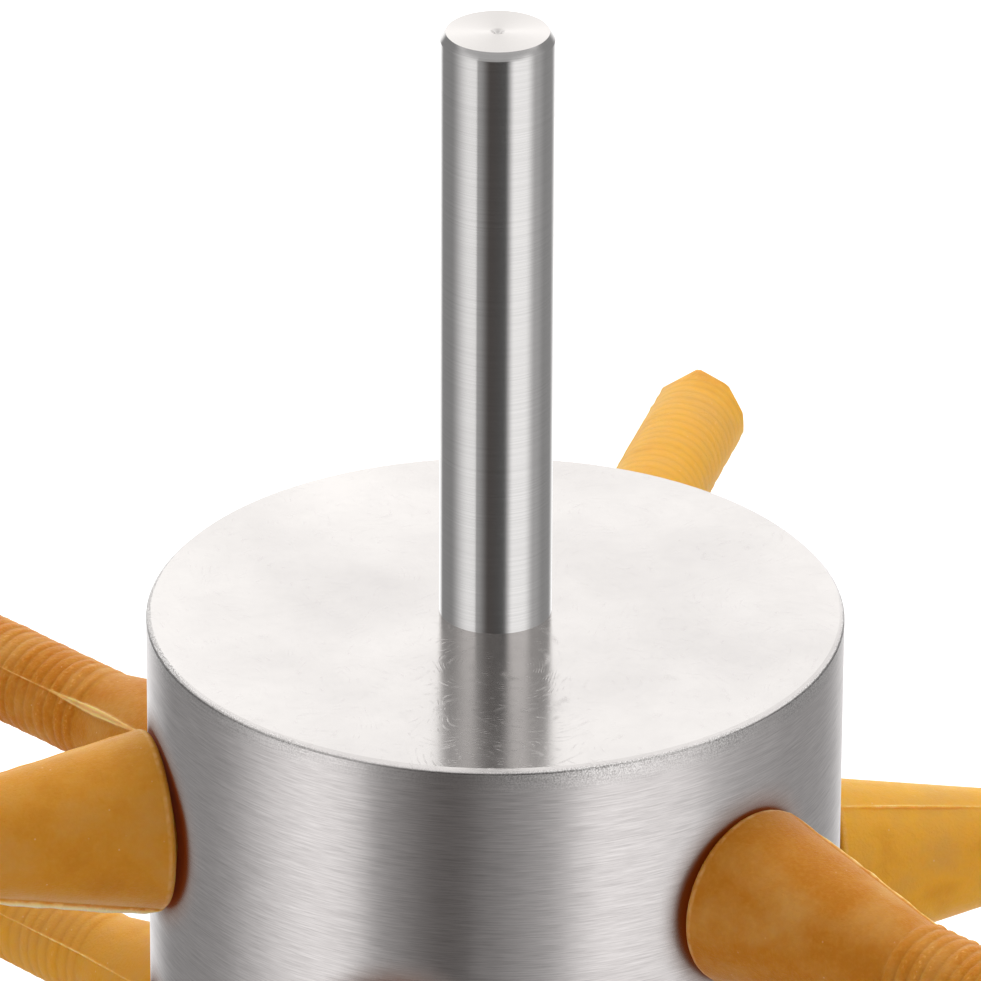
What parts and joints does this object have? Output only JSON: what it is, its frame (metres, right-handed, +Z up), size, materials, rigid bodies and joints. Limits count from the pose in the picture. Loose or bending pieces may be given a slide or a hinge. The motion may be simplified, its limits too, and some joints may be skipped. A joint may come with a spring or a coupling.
{
  "type": "drill plucker attachment",
  "caption": "Steel drum on a plain round drill shank, set all round with staggered ribbed rubber fingers that bend as a drill spins it to pluck poultry.",
  "frame": {"origin": "centre of the drum's open bottom rim, on the surface that it stands on", "axes": "+Z up along the shank, +X to the right and +Y away from the viewer in the picture"},
  "size_m": [0.157, 0.1574, 0.1538],
  "materials": {
    "drum_steel": "turned round the drum, satin",
    "shank_steel": "turned, fairly bright",
    "plated_steel": "zinc plated, satin",
    "rubber": "amber natural rubber, satin, slightly translucent"
  },
  "bodies": {
    "drum": {"drum_tube": "drum_steel", "top_plate": "drum_steel", "shank": "shank_steel", "flat_washer": "plated_steel", "spring_washer": "plated_steel", "shank_nut": "plated_steel"},
    "finger_01": {"finger_01": "rubber"},
    "finger_02": {"finger_02": "rubber"},
    "finger_03": {"finger_03": "rubber"},
    "finger_04": {"finger_04": "rubber"},
    "finger_05": {"finger_05": "rubber"},
    "finger_06": {"finger_06": "rubber"},
    "finger_07": {"finger_07": "rubber"},
    "finger_08": {"finger_08": "rubber"},
    "finger_09": {"finger_09": "rubber"},
    "finger_10": {"finger_10": "rubber"},
    "finger_11": {"finger_11": "rubber"},
    "finger_12": {"finger_12": "rubber"},
    "finger_13": {"finger_13": "rubber"},
    "finger_14": {"finger_14": "rubber"},
    "finger_15": {"finger_15": "rubber"},
    "finger_16": {"finger_16": "rubber"},
    "finger_17": {"finger_17": "rubber"},
    "finger_18": {"finger_18": "rubber"}
  },
  "joints": [
    {"name": "finger_01_bend", "type": "hinge", "parent": "drum", "child": "finger_01", "pos_m": [0.00761, 0.02902, 0.08113], "axis": [0, 0, 1], "range_deg": [-45, 45], "stiffness_Nm_per_rad": 0.08, "deforming": ["finger_01"]},
    {"name": "finger_02_bend", "type": "hinge", "parent": "drum", "child": "finger_02", "pos_m": [-0.02894, -0.00792, 0.08113], "axis": [0, 0, 1], "range_deg": [-45, 45], "stiffness_Nm_per_rad": 0.08, "deforming": ["finger_02"]},
    {"name": "finger_03_bend", "type": "hinge", "parent": "drum", "child": "finger_03", "pos_m": [0.02132, -0.0211, 0.08113], "axis": [0, 0, 1], "range_deg": [-45, 45], "stiffness_Nm_per_rad": 0.08, "deforming": ["finger_03"]},
    {"name": "finger_04_bend", "type": "hinge", "parent": "drum", "child": "finger_04", "pos_m": [-0.02132, 0.0211, 0.06828], "axis": [0, 0, 1], "range_deg": [-45, 45], "stiffness_Nm_per_rad": 0.08, "deforming": ["finger_04"]},
    {"name": "finger_05_bend", "type": "hinge", "parent": "drum", "child": "finger_05", "pos_m": [-0.00761, -0.02902, 0.06828], "axis": [0, 0, 1], "range_deg": [-45, 45], "stiffness_Nm_per_rad": 0.08, "deforming": ["finger_05"]},
    {"name": "finger_06_bend", "type": "hinge", "parent": "drum", "child": "finger_06", "pos_m": [0.02894, 0.00792, 0.06828], "axis": [0, 0, 1], "range_deg": [-45, 45], "stiffness_Nm_per_rad": 0.08, "deforming": ["finger_06"]},
    {"name": "finger_07_bend", "type": "hinge", "parent": "drum", "child": "finger_07", "pos_m": [0.00761, 0.02902, 0.05543], "axis": [0, 0, 1], "range_deg": [-45, 45], "stiffness_Nm_per_rad": 0.08, "deforming": ["finger_07"]},
    {"name": "finger_08_bend", "type": "hinge", "parent": "drum", "child": "finger_08", "pos_m": [-0.02894, -0.00792, 0.05543], "axis": [0, 0, 1], "range_deg": [-45, 45], "stiffness_Nm_per_rad": 0.08, "deforming": ["finger_08"]},
    {"name": "finger_09_bend", "type": "hinge", "parent": "drum", "child": "finger_09", "pos_m": [0.02132, -0.0211, 0.05543], "axis": [0, 0, 1], "range_deg": [-45, 45], "stiffness_Nm_per_rad": 0.08, "deforming": ["finger_09"]},
    {"name": "finger_10_bend", "type": "hinge", "parent": "drum", "child": "finger_10", "pos_m": [-0.02132, 0.0211, 0.04258], "axis": [0, 0, 1], "range_deg": [-45, 45], "stiffness_Nm_per_rad": 0.08, "deforming": ["finger_10"]},
    {"name": "finger_11_bend", "type": "hinge", "parent": "drum", "child": "finger_11", "pos_m": [-0.00761, -0.02902, 0.04258], "axis": [0, 0, 1], "range_deg": [-45, 45], "stiffness_Nm_per_rad": 0.08, "deforming": ["finger_11"]},
    {"name": "finger_12_bend", "type": "hinge", "parent": "drum", "child": "finger_12", "pos_m": [0.02894, 0.00792, 0.04258], "axis": [0, 0, 1], "range_deg": [-45, 45], "stiffness_Nm_per_rad": 0.08, "deforming": ["finger_12"]},
    {"name": "finger_13_bend", "type": "hinge", "parent": "drum", "child": "finger_13", "pos_m": [0.00761, 0.02902, 0.02973], "axis": [0, 0, 1], "range_deg": [-45, 45], "stiffness_Nm_per_rad": 0.08, "deforming": ["finger_13"]},
    {"name": "finger_14_bend", "type": "hinge", "parent": "drum", "child": "finger_14", "pos_m": [-0.02894, -0.00792, 0.02973], "axis": [0, 0, 1], "range_deg": [-45, 45], "stiffness_Nm_per_rad": 0.08, "deforming": ["finger_14"]},
    {"name": "finger_15_bend", "type": "hinge", "parent": "drum", "child": "finger_15", "pos_m": [0.02132, -0.0211, 0.02973], "axis": [0, 0, 1], "range_deg": [-45, 45], "stiffness_Nm_per_rad": 0.08, "deforming": ["finger_15"]},
    {"name": "finger_16_bend", "type": "hinge", "parent": "drum", "child": "finger_16", "pos_m": [-0.02132, 0.0211, 0.01688], "axis": [0, 0, 1], "range_deg": [-45, 45], "stiffness_Nm_per_rad": 0.08, "deforming": ["finger_16"]},
    {"name": "finger_17_bend", "type": "hinge", "parent": "drum", "child": "finger_17", "pos_m": [-0.00761, -0.02902, 0.01688], "axis": [0, 0, 1], "range_deg": [-45, 45], "stiffness_Nm_per_rad": 0.08, "deforming": ["finger_17"]},
    {"name": "finger_18_bend", "type": "hinge", "parent": "drum", "child": "finger_18", "pos_m": [0.02894, 0.00792, 0.01688], "axis": [0, 0, 1], "range_deg": [-45, 45], "stiffness_Nm_per_rad": 0.08, "deforming": ["finger_18"]}
  ]
}
